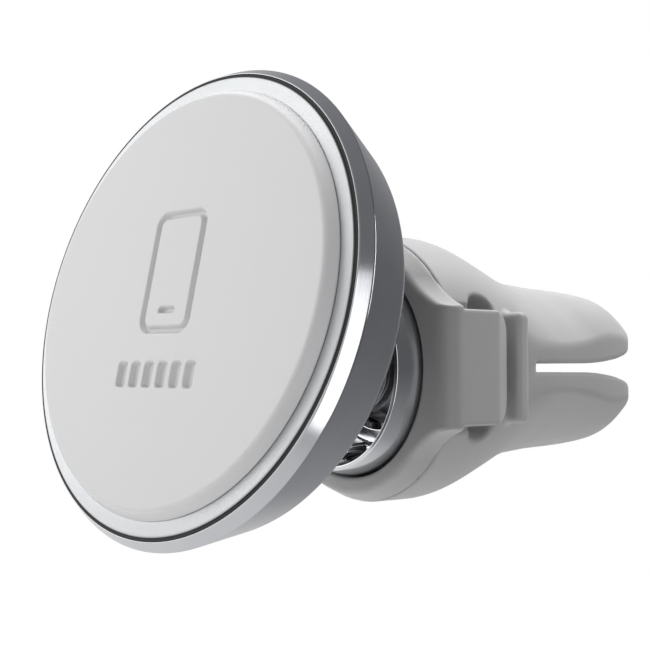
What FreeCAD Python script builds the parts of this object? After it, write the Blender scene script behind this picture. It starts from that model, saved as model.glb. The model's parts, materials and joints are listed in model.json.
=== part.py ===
import FreeCAD, Part
import math
import os
import re
import Sketcher

# A magnetic phone mount for a car's air vent, in millimetres.
# The origin is at the root of the slot that takes the vent blade. The prongs point along +Y,
# the head faces -Y and +Z is up. Pieces of the joint and the head are drawn about their own
# axis, with the ball's centre as zero and local +Z towards the phone.

SIZES = {
    # magnetic head
    "head_pan": 6.0,
    "head_tilt": 12.5,
    "seam_radius": 20.0,
    "rim_bulge": 0.8,
    "rim_drop": 1.2,
    "shell_taper": 1.4,
    "shell_floor": 1.0,
    "shell_wall": 1.2,
    "gasket_width": 0.3,
    "gasket_recess": 0.15,
    "trim_thickness": 1.2,
    "trim_show": 1.5,
    "pad_bevel": 0.7,
    "pad_rise": 1.1,
    "pad_overlap": 2.1,
    "tape_thickness": 0.2,
    "tape_gap": 0.1,
    "carrier_floor": 0.4,
    "carrier_step": 0.2,
    "magnet_radius": 3.5,
    "magnet_thickness": 1.8,
    "magnet_margin": 2.4,
    "magnet_count": 6,
    "yoke_thickness": 0.8,
    "yoke_gap": 0.2,
    "cover_inset": 1.0,
    "cover_edge": 0.7,
    "cover_cone_radius": 10.0,
    "cover_cone_depth": 1.9,
    "boss_radius": 4.0,
    "boss_clearance": 1.2,
    "boss_rise": 8.3,
    "boss_length": 2.8,
    "boss_draft": 0.2,
    "boss_flare": 2.0,
    "boss_flare_drop": 2.2,
    "cover_screw_circle": 12.0,
    "cover_screw_count": 3,
    "screw_radius": 1.0,
    "screw_head_radius": 1.9,
    "screw_head": 1.1,
    "screw_length": 2.0,
    "recess_length": 2.2,
    "recess_width": 0.5,
    "recess_depth": 0.5,
    # ball joint
    "ball_radius": 4.5,
    "neck_radius": 1.6,
    "flange_width": 1.6,
    "flange_thickness": 0.6,
    "thread_step": 0.1,
    "washer_width": 1.9,
    "washer_thickness": 0.4,
    "nut_flats": 5.5,
    "nut_thickness": 1.8,
    "nut_room": 0.2,
    "running_gap": 0.03,
    "shank_gap": 0.05,
    "cup_wall": 0.9,
    "cup_angle": 30.0,
    "plate_floor": 1.0,
    "plate_thickness": 2.9,
    "plate_gap": 0.1,
    "spring_stack": 1.0,
    "spring_thickness": 0.3,
    "spring_inner": 2.8,
    "spring_margin": 0.4,
    "spring_gap": 0.02,
    "collar_wall": 1.5,
    "collar_back": 0.6,
    "collar_cut_back": 0.3,
    "ball_show": 1.45,
    "collar_lip": 0.9,
    "lip_lead": 0.2,
    "lip_lead_depth": 0.4,
    "bezel_wall": 0.1,
    "bezel_draft": 0.8,
    "bezel_drop": 0.6,
    "bezel_bevel": 0.4,
    "notch_count": 4,
    "notch_width": 1.2,
    "notch_depth": 1.2,
    # polished dish
    "dish_floor": 0.9,
    "dish_floor_width": 2.4,
    "dish_wall": 1.85,
    "dish_stand": 2.2,
    "dish_rim_draw": 0.55,
    "dish_lip": 0.4,
    "dish_ledge": 3.3,
    "dish_ledge_width": 0.8,
    "dish_ledge_draft": 0.3,
    "dish_back": 0.4,
    "dish_flare": 1.3,
    "dish_flare_height": 1.1,
    "hub_wall": 1.2,
    "slot_count": 4,
    "slot_width": 2.6,
    "slot_inset": 0.6,
    "slot_lift": 0.6,
    # cable strap
    "lip_gap": 0.25,
    "strap_width": 2.4,
    "strap_front": 4.8,
    "strap_thickness": 2.2,
    "strap_chamfer": 1.0,
    "strap_lead": 0.3,
    "strap_lead_depth": 0.4,
    "strap_flange": 1.0,
    "strap_flange_step": 1.1,
    "strap_skirt": 0.9,
    "strap_gap": 0.1,
    "flap_wall": 0.8,
    "flap_gap": 0.7,
    "flap_tip": 0.4,
    "flap_bevel": 0.6,
    "flap_bevel_length": 0.9,
    "flap_shoulder": 1.6,
    "flap_height": 10.4,
    "flap_corner": 2.5,
    "cable_radius": 1.7,
    "cable_depth": 2.0,
    "cable_wall": 0.3,
    "cable_slit": 1.15,
    # vent clip
    "slot_root_wall": 1.3,
    "prong_width": 22.0,
    "prong_reach": 21.2,
    "prong_trim": 0.8,
    "nose_trim": 0.6,
    "nose_flatness": 0.6,
    "nose_length": 5.4,
    "prong_root_height": 9.3,
    "prong_root_depth": 2.0,
    "prong_tip_height": 7.9,
    "prong_end_wall": 1.6,
    "shoulder_depth": 3.0,
    "shoulder_draw": 0.1,
    "shoulder_drop": 0.4,
    "neck_depth": 7.5,
    "neck_draw": 0.6,
    "slot_gap": 0.9,
    "flare_start": 7.0,
    "flare_depth": 3.3,
    "rib_stand": 0.1,
    "rib_width": 1.55,
    "rib_root": 1.0,
    # stiff core inside the clip
    "core_wall": 1.4,
    "core_floor": 1.4,
    "core_gap": 0.1,
    "core_flange": 2.1,
    "core_flange_thickness": 1.0,
    "finger_width": 10.0,
    "finger_thickness": 1.6,
    "finger_height": 2.6,
    "finger_reach": 11.0,
    # how far a cut runs past the material it goes through
    "overrun": 1.0,
}

# Sizes that follow from the ones above, as expressions in their words.
# Head: radii from the seam inwards, then heights above the ball's centre.
RIM_RADIUS = "(seam_radius + rim_bulge)"
SHELL_BACK_RADIUS = "(seam_radius - shell_taper)"
LEDGE_RADIUS = "(seam_radius - shell_wall)"
TRIM_RADIUS = "(seam_radius - gasket_width)"
PAD_RADIUS = "(seam_radius - trim_show)"
SPIGOT_RADIUS = f"({PAD_RADIUS} - pad_overlap)"
TAPE_RADIUS = f"({SPIGOT_RADIUS} - tape_gap)"
MAGNET_CIRCLE = f"({SPIGOT_RADIUS} - magnet_margin - magnet_radius)"
COVER_RADIUS = f"({SHELL_BACK_RADIUS} - cover_inset)"
DISH_RIM = "(strap_front + dish_stand)"
BOSS_END = f"({DISH_RIM} + boss_clearance)"
CONE_BACK = f"({BOSS_END} + boss_rise)"
SHELL_BACK = f"({CONE_BACK} + cover_cone_depth)"
COVER_EDGE = f"({SHELL_BACK} - cover_edge)"
SHELL_FLOOR = f"({SHELL_BACK} + shell_floor)"
WASHER_FRONT = f"({SHELL_FLOOR} + washer_thickness)"
NUT_FRONT = f"({WASHER_FRONT} + nut_thickness)"
YOKE_BACK = f"({NUT_FRONT} + nut_room)"
CARRIER_BACK = f"({YOKE_BACK} + yoke_thickness)"
TRIM_BACK = f"({CARRIER_BACK} + magnet_thickness + carrier_floor)"
CARRIER_FRONT = f"({TRIM_BACK} + carrier_step)"
TAPE_FRONT = f"({CARRIER_FRONT} + tape_thickness)"
SEAM = f"({TRIM_BACK} + trim_thickness)"

# Ball joint: from the ball outwards, and back to the end of the dish's hub.
SHANK_BORE = "(neck_radius + shank_gap)"
THREAD_RADIUS = "(neck_radius - thread_step)"
WASHER_RADIUS = f"({THREAD_RADIUS} + washer_width)"
FLANGE_BACK = f"({BOSS_END} - flange_thickness)"
NUT_CORNER = "(nut_flats / 2 * tan(30))"
CUP_RADIUS = "(ball_radius + cup_wall)"
COLLAR_THREAD = "(ball_radius + collar_wall)"
COLLAR_FRONT = "(ball_radius - ball_show)"
COLLAR_OPENING = "(ball_radius - collar_lip)"
BEZEL_RADIUS = "(ball_radius + bezel_wall)"
PLATE_BACK = f"(0 - {CUP_RADIUS} - plate_floor - core_gap)"
HUB_END = f"({CUP_RADIUS} + plate_floor + spring_stack)"
CORE_SEAT = f"(0 - {HUB_END} - core_gap)"
SPRING_OUTER = f"({COLLAR_THREAD} - spring_margin)"

# Dish and strap: from the hub outwards.
HUB_RADIUS = f"({COLLAR_THREAD} + hub_wall)"
DISH_WALL_RADIUS = f"({COLLAR_THREAD} + dish_floor_width)"
DISH_LEDGE_RADIUS = f"({DISH_WALL_RADIUS} - dish_ledge_width)"
DISH_RADIUS = f"({DISH_WALL_RADIUS} + dish_wall)"
DISH_RIM_RADIUS = f"({DISH_RADIUS} - dish_rim_draw)"
FLARE_TOP = "(dish_floor + dish_flare_height)"
STRAP_OPENING = f"({DISH_RADIUS} + lip_gap)"
STRAP_RADIUS = f"({STRAP_OPENING} + strap_width)"
SKIRT_RADIUS = f"({STRAP_OPENING} + strap_skirt)"
STRAP_FLANGE_RADIUS = f"({STRAP_OPENING} - strap_flange_step)"
STRAP_SHOULDER = "(strap_front - strap_thickness)"
STRAP_BACK = "(0 - dish_back - strap_flange)"
CABLE_SIDE = f"({HUB_RADIUS} + core_flange + cable_wall + cable_radius)"
FLAP_INNER = f"({CABLE_SIDE} + flap_gap)"
FLAP_OUTER = f"({CABLE_SIDE} + cable_radius + flap_wall)"
FLAP_END = "(0 - cable_depth - cable_radius - flap_tip)"

# Clip and core: backwards from the core's cup to the prongs' tips.
CORE_RADIUS = f"({HUB_RADIUS} + core_wall)"
CORE_FLANGE_RADIUS = f"({HUB_RADIUS} + core_flange)"
CORE_FLANGE_BACK = f"({STRAP_BACK} - core_flange_thickness)"
CORE_BACK = f"({CORE_SEAT} - core_floor)"
SLOT_ROOT = f"({CORE_BACK} - slot_root_wall)"
FLARE_START = f"({SLOT_ROOT} - flare_start)"
PRONG_TIP = f"({SLOT_ROOT} - prong_reach)"
PRONG_SIDE = "(prong_width / 2)"
RIB_FRONT = f"({FLAP_END} - cable_slit)"
RIB_BACK = f"({RIB_FRONT} - rib_width)"
RIB_REACH = f"({STRAP_RADIUS} + rib_stand)"
CLEAR_SIDE = f"({STRAP_RADIUS} + {PRONG_SIDE})"
NOSE_RADIUS = f"({PRONG_SIDE} + nose_flatness)"
NOSE_START = f"({PRONG_TIP} + {NOSE_RADIUS} - sqrt({NOSE_RADIUS}^2 - {PRONG_SIDE}^2))"
FLARE_RADIUS = "((prong_reach - flare_start)^2 + flare_depth^2) / (2 * flare_depth)"

doc = FreeCAD.newDocument("VentPhoneMount")
sheet = doc.addObject("Spreadsheet::Sheet", "Sizes")
for row, (word, value) in enumerate(SIZES.items(), start=1):
    sheet.set(f"A{row}", str(value))
    sheet.setAlias(f"A{row}", word)
doc.recompute()


def number(expression):
    """The value of an expression written in the sheet's own words."""
    return float(sheet.evalExpression(expression))


def bound(expression):
    """The same expression, as another object of the document reads it."""
    def qualified(found):
        word = found[0]
        return f"Sizes.{word}" if word in SIZES else word
    return re.sub(r"[a-z_]{3,}", qualified, expression)


def new_body(label):
    body = doc.addObject("PartDesign::Body", "Body_" + label)
    body.Label = label
    return body


def datum(body, role):
    """One of the body's own origin planes or axes."""
    return next(item for item in body.Origin.OriginFeatures if item.Role == role)


def sketch_on(body, role, offset="0"):
    """A sketch on one of the body's own planes, moved along that plane's normal."""
    sketch = body.newObject("Sketcher::SketchObject", "Sketch")
    sketch.AttachmentSupport = [(datum(body, role), "")]
    sketch.MapMode = "FlatFace"
    if offset != "0":
        sketch.setExpression("AttachmentOffset.Base.z", bound(offset))
    return sketch


def pin(sketch, kind, axis, item, point, expression):
    """Hold one coordinate of a point at an expression's value."""
    if expression == "0":
        sketch.addConstraint(Sketcher.Constraint("PointOnObject", item, point, axis))
        return
    held = Sketcher.Constraint(kind, -1, 1, item, point, number(expression))
    index = sketch.addConstraint(held)
    sketch.setExpression(f"Constraints[{index}]", bound(expression))


def side_curve(start, end, radius):
    """A straight side, or an arc that bulges to the right of it (to the left if negative)."""
    if radius is None:
        return Part.LineSegment(start, end)
    chord = end - start
    across = FreeCAD.Vector(-chord.y, chord.x, 0).normalize()
    rise = math.sqrt(max(radius**2 - chord.Length**2 / 4, 0))
    bulge = math.copysign(abs(radius) - rise, radius)
    return Part.Arc(start, (start + end) / 2 - across * bulge, end)


def outline(sketch, corners, arcs=None):
    """A closed outline through the corners. arcs gives side number: radius expression."""
    arcs = arcs or {}
    spots = [FreeCAD.Vector(number(x), number(y), 0) for x, y in corners]
    first = sketch.GeometryCount
    ends = []
    for side, start in enumerate(spots):
        radius = number(arcs[side]) if side in arcs else None
        sketch.addGeometry(side_curve(start, spots[(side + 1) % len(spots)], radius))
        drawn = sketch.Geometry[first + side]
        turned = side in arcs and not drawn.StartPoint.isEqual(start, Part.Precision.confusion())
        ends.append((2, 1) if turned else (1, 2))
    for side, (x, y) in enumerate(corners):
        before = (side - 1) % len(corners)
        item, point = first + side, ends[side][0]
        joined = Sketcher.Constraint("Coincident", first + before, ends[before][1], item, point)
        sketch.addConstraint(joined)
        pin(sketch, "DistanceX", -2, item, point, x)
        pin(sketch, "DistanceY", -1, item, point, y)
    for side, expression in arcs.items():
        held = Sketcher.Constraint("Radius", first + side, abs(number(expression)))
        index = sketch.addConstraint(held)
        sketch.setExpression(f"Constraints[{index}]", bound(f"abs({expression})"))


def circle(sketch, x, y, radius):
    centre = FreeCAD.Vector(number(x), number(y), 0)
    item = sketch.addGeometry(Part.Circle(centre, FreeCAD.Vector(0, 0, 1), number(radius)))
    pin(sketch, "DistanceX", -2, item, 3, x)
    pin(sketch, "DistanceY", -1, item, 3, y)
    index = sketch.addConstraint(Sketcher.Constraint("Radius", item, number(radius)))
    sketch.setExpression(f"Constraints[{index}]", bound(radius))


def revolve(body, *outlines, kind="Revolution"):
    """A turned shape, or a turned cut: each outline's corners are (radius, height) pairs."""
    sketch = sketch_on(body, "XZ_Plane")
    for corners in outlines:
        outline(sketch, corners)
    turned = body.newObject(f"PartDesign::{kind}", "Turned")
    turned.Profile = sketch
    turned.ReferenceAxis = (sketch, ["V_Axis"])
    turned.Angle = 360
    return turned


def pad(body, sketch, length, both_ways=False, backwards=False):
    grown = body.newObject("PartDesign::Pad", "Pad")
    grown.Profile = sketch
    grown.SideType = "Symmetric" if both_ways else "One side"
    grown.Reversed = backwards
    grown.setExpression("Length", bound(length))
    return grown


def pocket(body, sketch, length, both_ways=False, backwards=False):
    """Cut along the sketch. It has to remove something."""
    doc.recompute()
    before = body.Shape.Volume
    cut = body.newObject("PartDesign::Pocket", "Pocket")
    cut.Profile = sketch
    cut.SideType = "Symmetric" if both_ways else "One side"
    cut.Reversed = backwards
    cut.setExpression("Length", bound(length))
    doc.recompute()
    if not body.Shape.Volume < before:
        raise RuntimeError(f"a pocket of {body.Label} cuts nothing")
    return cut


def around(body, features, count):
    """Repeat features evenly about the body's local Z axis."""
    pattern = body.newObject("PartDesign::PolarPattern", "Around")
    pattern.Originals = features
    pattern.Axis = (datum(body, "Z_Axis"), [""])
    pattern.Angle = 360
    pattern.setExpression("Occurrences", bound(count))
    body.Tip = pattern


def mirror(body, features):
    """Copy features across the body's local YZ plane."""
    copy = body.newObject("PartDesign::Mirrored", "Mirrored")
    copy.Originals = features
    copy.MirrorPlane = (datum(body, "YZ_Plane"), [""])
    body.Tip = copy


def sphere(body, kind, radius):
    ball = body.newObject(f"PartDesign::{kind}Sphere", "Sphere")
    ball.setExpression("Radius", bound(radius))
    return ball


# --- magnetic head ---------------------------------------------------------------------------

def face_pad():
    """Soft pad that the phone rests on, with a spigot that sits in the trim ring."""
    body = new_body("face_pad")
    revolve(body, [
        ("0", TAPE_FRONT),
        (SPIGOT_RADIUS, TAPE_FRONT),
        (SPIGOT_RADIUS, SEAM),
        (PAD_RADIUS, SEAM),
        (f"{PAD_RADIUS} - pad_bevel", f"{SEAM} + pad_rise"),
        ("0", f"{SEAM} + pad_rise"),
    ])
    return body


def pad_tape():
    """Double-sided tape disc between the pad and the magnet carrier."""
    body = new_body("pad_tape")
    revolve(body, [
        ("0", CARRIER_FRONT),
        (TAPE_RADIUS, CARRIER_FRONT),
        (TAPE_RADIUS, TAPE_FRONT),
        ("0", TAPE_FRONT),
    ])
    return body


def trim_ring():
    """Flat satin ring round the pad."""
    body = new_body("trim_ring")
    revolve(body, [
        (SPIGOT_RADIUS, TRIM_BACK),
        (TRIM_RADIUS, TRIM_BACK),
        (TRIM_RADIUS, SEAM),
        (SPIGOT_RADIUS, SEAM),
    ])
    return body


def seam_gasket():
    """Thin dark gasket between the trim ring and the shell."""
    body = new_body("seam_gasket")
    revolve(body, [
        (TRIM_RADIUS, TRIM_BACK),
        ("seam_radius", TRIM_BACK),
        ("seam_radius", f"{SEAM} - gasket_recess"),
        (TRIM_RADIUS, f"{SEAM} - gasket_recess"),
    ])
    return body


def magnet_carrier():
    """Moulded carrier with a blind pocket for each magnet, open at the back."""
    body = new_body("magnet_carrier")
    revolve(body, [
        ("0", CARRIER_BACK),
        (LEDGE_RADIUS, CARRIER_BACK),
        (LEDGE_RADIUS, TRIM_BACK),
        (TAPE_RADIUS, TRIM_BACK),
        (TAPE_RADIUS, CARRIER_FRONT),
        ("0", CARRIER_FRONT),
    ])
    sketch = sketch_on(body, "XY_Plane", CARRIER_BACK)
    circle(sketch, MAGNET_CIRCLE, "0", "magnet_radius")
    seat = pocket(body, sketch, "magnet_thickness", backwards=True)
    around(body, [seat], "magnet_count")
    return body


def magnets():
    """The ring of disc magnets, as separate solids of one body."""
    body = new_body("magnets")
    body.AllowCompound = True
    sketch = sketch_on(body, "XY_Plane", CARRIER_BACK)
    circle(sketch, MAGNET_CIRCLE, "0", "magnet_radius")
    around(body, [pad(body, sketch, "magnet_thickness")], "magnet_count")
    return body


def yoke_plate():
    """Steel plate that closes the magnets' field at the back."""
    body = new_body("yoke_plate")
    revolve(body, [
        ("0", YOKE_BACK),
        (f"{LEDGE_RADIUS} - yoke_gap", YOKE_BACK),
        (f"{LEDGE_RADIUS} - yoke_gap", CARRIER_BACK),
        ("0", CARRIER_BACK),
    ])
    return body


def head_shell():
    """Polished metal shell: a bevelled rim, a ledge for the trim ring and a floor at the back."""
    body = new_body("head_shell")
    revolve(body, [
        (SHANK_BORE, SHELL_BACK),
        (SHELL_BACK_RADIUS, SHELL_BACK),
        (RIM_RADIUS, f"{SEAM} - rim_drop"),
        ("seam_radius", SEAM),
        ("seam_radius", TRIM_BACK),
        (LEDGE_RADIUS, TRIM_BACK),
        (LEDGE_RADIUS, YOKE_BACK),
        (f"{SHELL_BACK_RADIUS} - shell_wall", SHELL_FLOOR),
        (SHANK_BORE, SHELL_FLOOR),
    ])
    sketch = sketch_on(body, "XY_Plane", SHELL_BACK)
    circle(sketch, "cover_screw_circle", "0", "screw_radius")
    hole = pocket(body, sketch, "shell_floor", backwards=True)
    around(body, [hole], "cover_screw_count")
    return body


def back_cover():
    """Black cover behind the shell, coned up to the boss that guides the ball stud."""
    body = new_body("back_cover")
    revolve(body, [
        (SHANK_BORE, BOSS_END),
        ("boss_radius", BOSS_END),
        ("boss_radius + boss_draft", f"{BOSS_END} + boss_length"),
        ("boss_radius + boss_flare", f"{CONE_BACK} - boss_flare_drop"),
        ("cover_cone_radius", CONE_BACK),
        (COVER_RADIUS, COVER_EDGE),
        (COVER_RADIUS, SHELL_BACK),
        (SHANK_BORE, SHELL_BACK),
    ])
    sketch = sketch_on(body, "XY_Plane", SHELL_BACK)
    circle(sketch, "cover_screw_circle", "0", "screw_radius")
    hole = pocket(body, sketch, "screw_length - shell_floor")
    around(body, [hole], "cover_screw_count")
    return body


def cover_screws():
    """The pan-head screws that hold the shell's floor to the back cover, each with a slot."""
    body = new_body("cover_screws")
    body.AllowCompound = True
    head_circle = sketch_on(body, "XY_Plane", SHELL_FLOOR)
    circle(head_circle, "cover_screw_circle", "0", "screw_head_radius")
    head = pad(body, head_circle, "screw_head")
    shank_circle = sketch_on(body, "XY_Plane", SHELL_FLOOR)
    circle(shank_circle, "cover_screw_circle", "0", "screw_radius")
    shank = pad(body, shank_circle, "screw_length", backwards=True)
    recess = sketch_on(body, "XY_Plane", f"{SHELL_FLOOR} + screw_head")
    outline(recess, [
        ("cover_screw_circle - recess_length / 2", "recess_width / -2"),
        ("cover_screw_circle + recess_length / 2", "recess_width / -2"),
        ("cover_screw_circle + recess_length / 2", "recess_width / 2"),
        ("cover_screw_circle - recess_length / 2", "recess_width / 2"),
    ])
    driver_slot = pocket(body, recess, "recess_depth")
    around(body, [head, shank, driver_slot], "cover_screw_count")
    return body


# --- ball joint ------------------------------------------------------------------------------

def ball_stud():
    """Steel ball with its neck, the flange under the boss, the shank and a threaded end."""
    body = new_body("ball_stud")
    revolve(body, [
        ("0", "0"),
        ("neck_radius", "0"),
        ("neck_radius", FLANGE_BACK),
        ("neck_radius + flange_width", FLANGE_BACK),
        ("neck_radius + flange_width", BOSS_END),
        ("neck_radius", BOSS_END),
        ("neck_radius", SHELL_FLOOR),
        (THREAD_RADIUS, SHELL_FLOOR),
        (THREAD_RADIUS, NUT_FRONT),
        ("0", NUT_FRONT),
    ])
    sphere(body, "Additive", "ball_radius")
    return body


def stud_washer():
    """Washer under the stud's nut."""
    body = new_body("stud_washer")
    revolve(body, [
        (THREAD_RADIUS, SHELL_FLOOR),
        (WASHER_RADIUS, SHELL_FLOOR),
        (WASHER_RADIUS, WASHER_FRONT),
        (THREAD_RADIUS, WASHER_FRONT),
    ])
    return body


def stud_nut():
    """Thin hexagon nut on the stud, inside the head."""
    body = new_body("stud_nut")
    sketch = sketch_on(body, "XY_Plane", WASHER_FRONT)
    outline(sketch, [
        (f"0 - {NUT_CORNER}", "nut_flats / -2"),
        (NUT_CORNER, "nut_flats / -2"),
        ("nut_flats / 2 / cos(30)", "0"),
        (NUT_CORNER, "nut_flats / 2"),
        (f"0 - {NUT_CORNER}", "nut_flats / 2"),
        ("nut_flats / -2 / cos(30)", "0"),
    ])
    circle(sketch, "0", "0", THREAD_RADIUS)
    pad(body, sketch, "nut_thickness")
    return body


def friction_cup():
    """Nylon cup behind the ball, round inside and out, that turns with it from side to side."""
    body = new_body("friction_cup")
    cap = sphere(body, "Additive", CUP_RADIUS)
    cap.setExpression("Angle2", bound("-cup_angle"))
    sphere(body, "Subtractive", "ball_radius + running_gap")
    return body


def pressure_plate():
    """Sliding plate with a round seat that presses the cup against the ball."""
    body = new_body("pressure_plate")
    revolve(body, [
        ("0", PLATE_BACK),
        (f"{COLLAR_THREAD} - plate_gap", PLATE_BACK),
        (f"{COLLAR_THREAD} - plate_gap", f"{PLATE_BACK} + plate_thickness"),
        ("0", f"{PLATE_BACK} + plate_thickness"),
    ])
    sphere(body, "Subtractive", f"{CUP_RADIUS} + running_gap")
    return body


def disc_springs():
    """Two coned spring washers, back to back, that keep the joint tight."""
    body = new_body("disc_springs")
    body.AllowCompound = True
    middle = f"({CORE_SEAT} + spring_stack / 2)"
    washers = []
    for side in (1, -1):
        inner_face = f"{middle} + {side} * spring_gap / 2"
        outer_face = f"{middle} + {side} * (spring_stack / 2)"
        washers.append([
            (SPRING_OUTER, outer_face),
            (SPRING_OUTER, f"{outer_face} - {side} * spring_thickness"),
            ("spring_inner", inner_face),
            ("spring_inner", f"{inner_face} + {side} * spring_thickness"),
        ])
    revolve(body, *washers)
    return body


def socket_collar():
    """Dark threaded collar that holds the ball, with a rounded bezel and spanner notches."""
    body = new_body("socket_collar")
    revolve(body, [
        ("ball_radius - collar_cut_back", "0 - collar_back"),
        (COLLAR_THREAD, "0 - collar_back"),
        (COLLAR_THREAD, "dish_floor"),
        (f"{BEZEL_RADIUS} + bezel_draft", "dish_floor"),
        (BEZEL_RADIUS, f"{COLLAR_FRONT} - bezel_drop"),
        (f"{BEZEL_RADIUS} - bezel_bevel", COLLAR_FRONT),
        (f"{COLLAR_OPENING} + lip_lead", COLLAR_FRONT),
        (COLLAR_OPENING, f"{COLLAR_FRONT} - lip_lead_depth"),
    ])
    sphere(body, "Subtractive", "ball_radius + running_gap")
    sketch = sketch_on(body, "XY_Plane", "dish_floor")
    outline(sketch, [
        (BEZEL_RADIUS, "notch_width / -2"),
        (f"{COLLAR_THREAD} + overrun", "notch_width / -2"),
        (f"{COLLAR_THREAD} + overrun", "notch_width / 2"),
        (BEZEL_RADIUS, "notch_width / 2"),
    ])
    notch = pocket(body, sketch, "notch_depth", backwards=True)
    around(body, [notch], "notch_count")
    return body


# --- polished dish ---------------------------------------------------------------------------

def socket_dish():
    """Polished flared dish with its threaded hub; the stepped ledge inside is slotted."""
    body = new_body("socket_dish")
    revolve(body, [
        (COLLAR_THREAD, f"0 - {HUB_END}"),
        (HUB_RADIUS, f"0 - {HUB_END}"),
        (HUB_RADIUS, "0 - dish_back"),
        (f"{DISH_RADIUS} - dish_flare", "0 - dish_back"),
        (DISH_RADIUS, FLARE_TOP),
        (DISH_RADIUS, "strap_front"),
        (DISH_RIM_RADIUS, DISH_RIM),
        (f"{DISH_RIM_RADIUS} - dish_lip", DISH_RIM),
        (DISH_WALL_RADIUS, "dish_ledge"),
        (DISH_LEDGE_RADIUS, "dish_ledge"),
        (f"{DISH_LEDGE_RADIUS} - dish_ledge_draft", "dish_floor"),
        (COLLAR_THREAD, "dish_floor"),
    ])
    sketch = sketch_on(body, "XY_Plane", "dish_floor + slot_lift")
    outline(sketch, [
        (f"{COLLAR_THREAD} + slot_inset", "slot_width / -2"),
        (DISH_WALL_RADIUS, "slot_width / -2"),
        (DISH_WALL_RADIUS, "slot_width / 2"),
        (f"{COLLAR_THREAD} + slot_inset", "slot_width / 2"),
    ])
    slot = pocket(body, sketch, "dish_ledge - dish_floor", backwards=True)
    around(body, [slot], "slot_count")
    return body


# --- cable strap -----------------------------------------------------------------------------

def strap_flap(body):
    """One flap: a plate down the side with a shouldered front and rounded free corners."""
    plan = sketch_on(body, "XZ_Plane")
    outline(plan, [
        (f"{STRAP_OPENING} + strap_gap", "strap_front"),
        (f"{STRAP_OPENING} + strap_gap", STRAP_SHOULDER),
        (FLAP_INNER, STRAP_SHOULDER),
        (FLAP_INNER, FLAP_END),
        (f"{FLAP_OUTER} - flap_bevel", FLAP_END),
        (FLAP_OUTER, f"{FLAP_END} + flap_bevel_length"),
        (FLAP_OUTER, "strap_front - flap_shoulder"),
        (f"{FLAP_OUTER} - flap_shoulder", "strap_front"),
    ], {6: "flap_shoulder"})
    plate = pad(body, plan, "flap_height", both_ways=True)
    corners = sketch_on(body, "YZ_Plane", STRAP_OPENING)
    for side in (1, -1):
        top = f"{side} * flap_height / 2"
        inner = f"{side} * (flap_height / 2 - flap_corner)"
        outer = f"{side} * (flap_height / 2 + overrun)"
        outline(corners, [
            (outer, f"{FLAP_END} - overrun"),
            (outer, f"{FLAP_END} + flap_corner"),
            (top, f"{FLAP_END} + flap_corner"),
            (inner, FLAP_END),
            (inner, f"{FLAP_END} - overrun"),
        ], {2: f"{-side} * flap_corner"})
    trimmed = pocket(body, corners, f"{FLAP_OUTER} - {STRAP_OPENING} + overrun", backwards=True)
    return plate, trimmed


def cable_channel(body, length):
    """Round channel for a cable, up the right side."""
    sketch = sketch_on(body, "XZ_Plane")
    circle(sketch, CABLE_SIDE, "0 - cable_depth", "cable_radius")
    return pocket(body, sketch, length, both_ways=True)


def cable_strap():
    """Soft strap round the dish: a front ring, a skirt and flange behind it, and two flaps."""
    body = new_body("cable_strap")
    revolve(body, [
        (f"{HUB_RADIUS} + strap_gap", STRAP_BACK),
        (STRAP_FLANGE_RADIUS, STRAP_BACK),
        (SKIRT_RADIUS, FLARE_TOP),
        (SKIRT_RADIUS, STRAP_SHOULDER),
        (STRAP_RADIUS, STRAP_SHOULDER),
        (f"{STRAP_RADIUS} - strap_chamfer", "strap_front"),
        (f"{STRAP_OPENING} + strap_lead", "strap_front"),
        (STRAP_OPENING, "strap_front - strap_lead_depth"),
        (STRAP_OPENING, FLARE_TOP),
        (f"{DISH_RADIUS} - dish_flare + strap_gap / 2", "0 - dish_back"),
        (f"{HUB_RADIUS} + strap_gap", "0 - dish_back"),
    ])
    plate, trimmed = strap_flap(body)
    channel = cable_channel(body, "flap_height + 2 * overrun")
    mirror(body, [plate, trimmed, channel])
    return body


# --- vent clip -------------------------------------------------------------------------------

def clip_blank():
    """The clip's outer form: elliptical sections joined from the collar to the prongs' tips."""
    sections = []
    for half_width, half_height, height in (
        (STRAP_RADIUS, STRAP_RADIUS, STRAP_SHOULDER),
        (f"{STRAP_RADIUS} - shoulder_draw", f"{STRAP_RADIUS} - shoulder_drop", "0 - shoulder_depth"),
        (f"{STRAP_RADIUS} - neck_draw", f"({STRAP_RADIUS} + prong_root_height) / 2", "0 - neck_depth"),
        (f"{PRONG_SIDE} + prong_trim", "prong_root_height", f"{SLOT_ROOT} - prong_root_depth"),
        (f"{PRONG_SIDE} + nose_trim", "prong_tip_height", f"{PRONG_TIP} + nose_length"),
        (f"{PRONG_SIDE} + nose_trim", "flare_depth + prong_end_wall", PRONG_TIP),
    ):
        section = doc.addObject("Part::Ellipse", "Section")
        section.setExpression("MajorRadius", bound(half_width))
        section.setExpression("MinorRadius", bound(half_height))
        section.setExpression("Placement.Base.z", bound(height))
        sections.append(section)
    blank = doc.addObject("Part::Loft", "ClipBlank")
    blank.Sections = sections
    blank.Solid = True
    blank.Ruled = True
    return blank


def finger_section(body, side):
    """Section of one stiff finger, above (1) or below (-1) the blade slot."""
    sketch = sketch_on(body, "XY_Plane", CORE_BACK)
    near = f"{side} * finger_height"
    far = f"{side} * (finger_height + finger_thickness)"
    outline(sketch, [
        ("finger_width / -2", near),
        ("finger_width / 2", near),
        ("finger_width / 2", far),
        ("finger_width / -2", far),
    ])
    return sketch


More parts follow.
